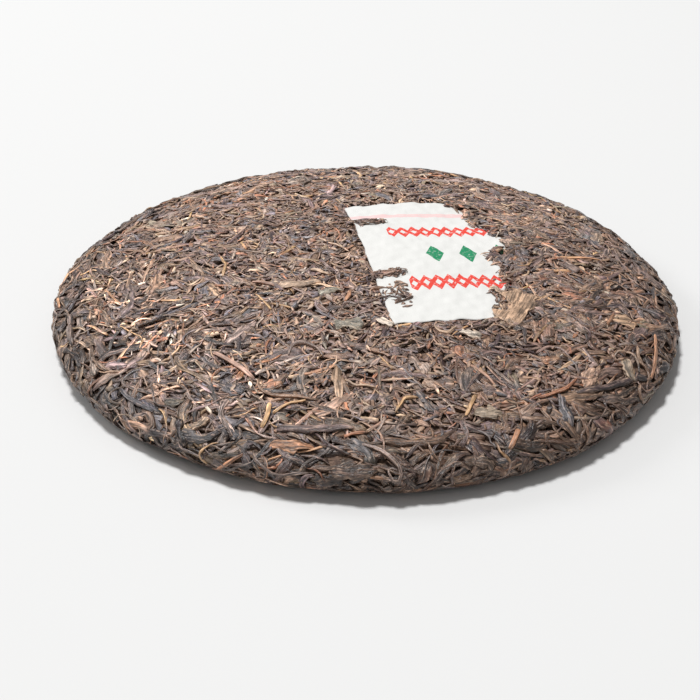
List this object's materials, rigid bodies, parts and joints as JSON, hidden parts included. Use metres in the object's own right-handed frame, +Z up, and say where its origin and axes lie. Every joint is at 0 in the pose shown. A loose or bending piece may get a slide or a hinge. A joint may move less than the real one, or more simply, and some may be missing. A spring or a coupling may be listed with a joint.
{
  "type": "tea cake",
  "caption": "Round cake of compressed dark tea leaves with a domed top, a rounded rim, a hollow in the underside and a paper ticket pressed into the top.",
  "frame": {"origin": "middle of the cake's outline, on the surface it lies on", "axes": "+Z up through the thickness, +Y away from the viewer, +X to the viewer's right, where the ticket is"},
  "size_m": [0.1996, 0.2006, 0.0224],
  "materials": {
    "tea_leaf": "dry rolled leaf, matt with a faint sheen",
    "ticket_paper": "thin uncoated white paper, printed in red and green"
  },
  "bodies": {
    "root": {"tea_cake": "tea_leaf", "ticket": "ticket_paper"}
  },
  "joints": []
}
